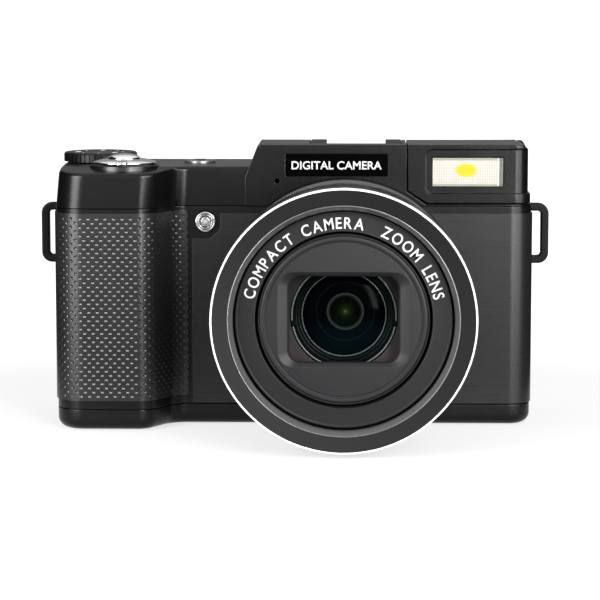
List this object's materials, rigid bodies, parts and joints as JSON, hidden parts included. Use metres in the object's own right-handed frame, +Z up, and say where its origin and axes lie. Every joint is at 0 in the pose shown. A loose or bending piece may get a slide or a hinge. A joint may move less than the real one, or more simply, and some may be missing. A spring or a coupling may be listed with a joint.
{
  "type": "compact digital camera",
  "caption": "Black compact digital camera with a large zoom lens, dimpled hand grip, pop-up flash, mode dial, shutter button with zoom lever and a flip-out rear screen.",
  "frame": {"origin": "mouth of the tripod socket, in the base plane straight under the lens axis", "axes": "+X to the right of a viewer who faces the lens, -Y the way the lens points, +Z up"},
  "size_m": [0.1272, 0.0753, 0.0692],
  "materials": {
    "body_plastic": "fine matte moulding",
    "grip_rubber": "dimpled soft skin",
    "brushed_trim": "dark horizontal brushing",
    "gloss_black": "polished",
    "lens_black": "satin black",
    "black_metal": "satin black",
    "chrome": "polished",
    "lens_glass": "coated, clear",
    "clear_plastic": "clear",
    "flash_glass": "fine ribbed, milky",
    "screen_glass": "polished",
    "reflector": "bright",
    "steel": "satin",
    "brass": "turned",
    "circuit": "solder mask",
    "cell_wrap": "printed wrap",
    "card_plastic": "matte",
    "white_print": "pad print"
  },
  "bodies": {
    "body": {"front_cover": "body_plastic", "trim_panel_left": "brushed_trim", "trim_panel_right": "brushed_trim", "grip_skin": "grip_rubber", "top_cover": "body_plastic", "name_plate": "gloss_black", "rear_cover": "body_plastic", "bottom_cover": "body_plastic", "accessory_shoe": "black_metal", "strap_lug_left": "black_metal", "strap_lug_right": "black_metal", "lamp_bezel": "chrome", "lamp_lens": "clear_plastic", "tripod_bush": "brass", "case_screws": "steel", "chassis_frame": "steel", "main_board": "circuit", "image_sensor": "gloss_black", "battery": "cell_wrap", "memory_card": "card_plastic", "flash_capacitor": "cell_wrap", "speaker": "steel", "port_sockets": "steel", "lens_base": "lens_black", "front_ring": "lens_black", "chrome_trim": "chrome", "zoom_motor": "steel", "rear_lens": "lens_glass", "flash_pin": "steel", "shutter_collar": "gloss_black", "screen_hinge": "black_metal"},
    "control_ring": {"control_ring": "lens_black"},
    "cam_barrel": {"cam_barrel": "lens_black"},
    "drive_pinion": {"drive_pinion": "brass"},
    "outer_barrel": {"outer_barrel": "lens_black"},
    "inner_barrel": {"inner_barrel": "lens_black", "lens_shield": "body_plastic", "lens_retainer": "lens_black", "front_lens": "lens_glass"},
    "barrier_upper_front": {"barrier_upper_front": "black_metal"},
    "barrier_upper_rear": {"barrier_upper_rear": "black_metal"},
    "barrier_lower_front": {"barrier_lower_front": "black_metal"},
    "barrier_lower_rear": {"barrier_lower_rear": "black_metal"},
    "flash": {"flash_housing": "body_plastic", "flash_window": "flash_glass", "flash_reflector": "reflector"},
    "mode_dial": {"mode_dial": "body_plastic"},
    "zoom_lever": {"zoom_lever": "chrome"},
    "shutter_button": {"shutter_button": "chrome"},
    "power_button": {"power_button": "chrome"},
    "menu_button": {"menu_button": "body_plastic"},
    "play_button": {"play_button": "body_plastic"},
    "record_button": {"record_button": "body_plastic"},
    "flash_release": {"flash_release": "body_plastic"},
    "direction_pad": {"direction_pad": "body_plastic"},
    "ok_button": {"ok_button": "gloss_black"},
    "screen": {"screen_frame": "body_plastic", "screen_glass": "screen_glass"},
    "battery_door": {"battery_door": "body_plastic"},
    "port_cover": {"port_cover": "body_plastic"}
  },
  "joints": [
    {"name": "cam_turn", "type": "hinge", "parent": "body", "child": "cam_barrel", "pos_m": [0, -0.034, 0.0315], "axis": [0, 1, 0], "range_deg": [0, 90]},
    {"name": "pinion_spin", "type": "hinge", "parent": "body", "child": "drive_pinion", "pos_m": [-0.01485, -0.0215, 0.04635], "axis": [0, 1, 0], "range_deg": [0, 720]},
    {"name": "outer_slide", "type": "slide", "parent": "body", "child": "outer_barrel", "axis": [0, -1, 0], "range_m": [0, 0.014]},
    {"name": "inner_slide", "type": "slide", "parent": "outer_barrel", "child": "inner_barrel", "axis": [0, -1, 0], "range_m": [0, 0.012]},
    {"name": "barrier_upper_front_slide", "type": "slide", "parent": "inner_barrel", "child": "barrier_upper_front", "axis": [0, 0, -1], "range_m": [0, 0.01]},
    {"name": "barrier_upper_rear_slide", "type": "slide", "parent": "inner_barrel", "child": "barrier_upper_rear", "axis": [0, 0, -1], "range_m": [0, 0.005]},
    {"name": "barrier_lower_front_slide", "type": "slide", "parent": "inner_barrel", "child": "barrier_lower_front", "axis": [0, 0, 1], "range_m": [0, 0.01]},
    {"name": "barrier_lower_rear_slide", "type": "slide", "parent": "inner_barrel", "child": "barrier_lower_rear", "axis": [0, 0, 1], "range_m": [0, 0.005]},
    {"name": "control_ring_turn", "type": "hinge", "parent": "body", "child": "control_ring", "pos_m": [0, -0.0455, 0.0315], "axis": [0, 1, 0], "continuous": true},
    {"name": "flash_popup", "type": "hinge", "parent": "body", "child": "flash", "pos_m": [0.03, 0.0052, 0.0668], "axis": [-1, 0, 0], "range_deg": [0, 35]},
    {"name": "mode_dial_turn", "type": "hinge", "parent": "body", "child": "mode_dial", "pos_m": [-0.0616, 0.0025, 0.065], "axis": [0, 0, 1], "continuous": true},
    {"name": "zoom_lever_turn", "type": "hinge", "parent": "body", "child": "zoom_lever", "pos_m": [-0.0541, -0.0135, 0.065], "axis": [0, 0, 1], "range_deg": [-20, 20], "stiffness_Nm_per_rad": 0.01},
    {"name": "shutter_press", "type": "slide", "parent": "body", "child": "shutter_button", "axis": [0, 0, -1], "range_m": [0, 0.001], "stiffness_N_per_m": 400, "springref_m": -0.0006},
    {"name": "power_press", "type": "slide", "parent": "body", "child": "power_button", "axis": [0, 0, -1], "range_m": [0, 0.0005], "stiffness_N_per_m": 400, "springref_m": -0.0006},
    {"name": "menu_press", "type": "slide", "parent": "body", "child": "menu_button", "axis": [0, -1, 0], "range_m": [0, 0.0006], "stiffness_N_per_m": 400, "springref_m": -0.0006},
    {"name": "play_press", "type": "slide", "parent": "body", "child": "play_button", "axis": [0, -1, 0], "range_m": [0, 0.0006], "stiffness_N_per_m": 400, "springref_m": -0.0006},
    {"name": "record_press", "type": "slide", "parent": "body", "child": "record_button", "axis": [0, -1, 0], "range_m": [0, 0.0006], "stiffness_N_per_m": 400, "springref_m": -0.0006},
    {"name": "flash_release_press", "type": "slide", "parent": "body", "child": "flash_release", "axis": [0, -1, 0], "range_m": [0, 0.0006], "stiffness_N_per_m": 400, "springref_m": -0.0006},
    {"name": "direction_press", "type": "slide", "parent": "body", "child": "direction_pad", "axis": [0, -1, 0], "range_m": [0, 0.0005], "stiffness_N_per_m": 400, "springref_m": -0.0006},
    {"name": "ok_press", "type": "slide", "parent": "body", "child": "ok_button", "axis": [0, -1, 0], "range_m": [0, 0.0006], "stiffness_N_per_m": 400, "springref_m": -0.0006},
    {"name": "screen_flip", "type": "hinge", "parent": "body", "child": "screen", "pos_m": [0.0437, 0.013, 0.0294], "axis": [0, 0, -1], "range_deg": [0, 180]},
    {"name": "battery_door_swing", "type": "hinge", "parent": "body", "child": "battery_door", "pos_m": [-0.0476, -0.004, 0.0008], "axis": [0, -1, 0], "range_deg": [0, 90]},
    {"name": "port_cover_swing", "type": "hinge", "parent": "body", "child": "port_cover", "pos_m": [0.0451, 0.0046, 0.023], "axis": [0, 0, 1], "range_deg": [0, 95]}
  ],
  "couplings": [
    {"joint": "pinion_spin", "follows": "cam_turn", "ratio": 8},
    {"joint": "outer_slide", "follows": "cam_turn", "m_per_rad": 0.0089127},
    {"joint": "inner_slide", "follows": "cam_turn", "m_per_rad": 0.0076394},
    {"joint": "barrier_upper_rear_slide", "follows": "barrier_upper_front_slide", "ratio": 0.5},
    {"joint": "barrier_lower_front_slide", "follows": "barrier_upper_front_slide", "ratio": 1},
    {"joint": "barrier_lower_rear_slide", "follows": "barrier_upper_front_slide", "ratio": 0.5}
  ]
}
